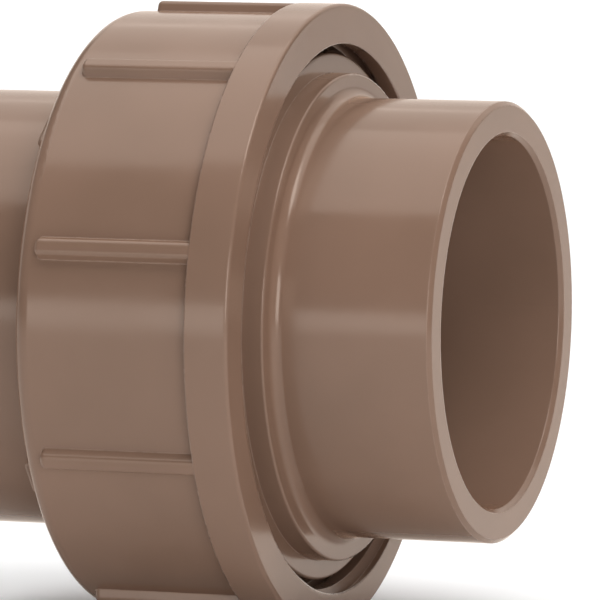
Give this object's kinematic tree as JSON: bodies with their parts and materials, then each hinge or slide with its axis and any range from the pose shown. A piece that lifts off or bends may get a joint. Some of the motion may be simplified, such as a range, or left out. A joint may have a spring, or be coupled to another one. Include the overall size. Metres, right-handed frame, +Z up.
{
  "type": "pipe union",
  "caption": "Plastic pipe union: a threaded socket half and a flanged socket half drawn together by a ribbed coupling nut with a plain collar, with a rubber face seal between them.",
  "frame": {"origin": "on the pipe axis, halfway along the assembled union", "axes": "+X along the pipe axis, out of the threaded half's socket; +Z up"},
  "size_m": [0.0792, 0.0848, 0.0848],
  "materials": {
    "brown_pvc": "semi-gloss injection-moulded",
    "black_rubber": "matt"
  },
  "bodies": {
    "flanged_half": {"flanged_end": "brown_pvc"},
    "nut": {"coupling_nut": "brown_pvc"},
    "threaded_half": {"threaded_end": "brown_pvc", "seal_ring": "black_rubber"}
  },
  "joints": [
    {"name": "nut_turn", "type": "hinge", "parent": "flanged_half", "child": "nut", "pos_m": [0, 0, 0], "axis": [-1, 0, 0], "range_deg": [0, 2340]},
    {"name": "half_separation", "type": "slide", "parent": "flanged_half", "child": "threaded_half", "axis": [1, 0, 0], "range_m": [0, 0.026]}
  ],
  "couplings": [
    {"joint": "half_separation", "follows": "nut_turn", "m_per_rad": 0.00063662}
  ]
}
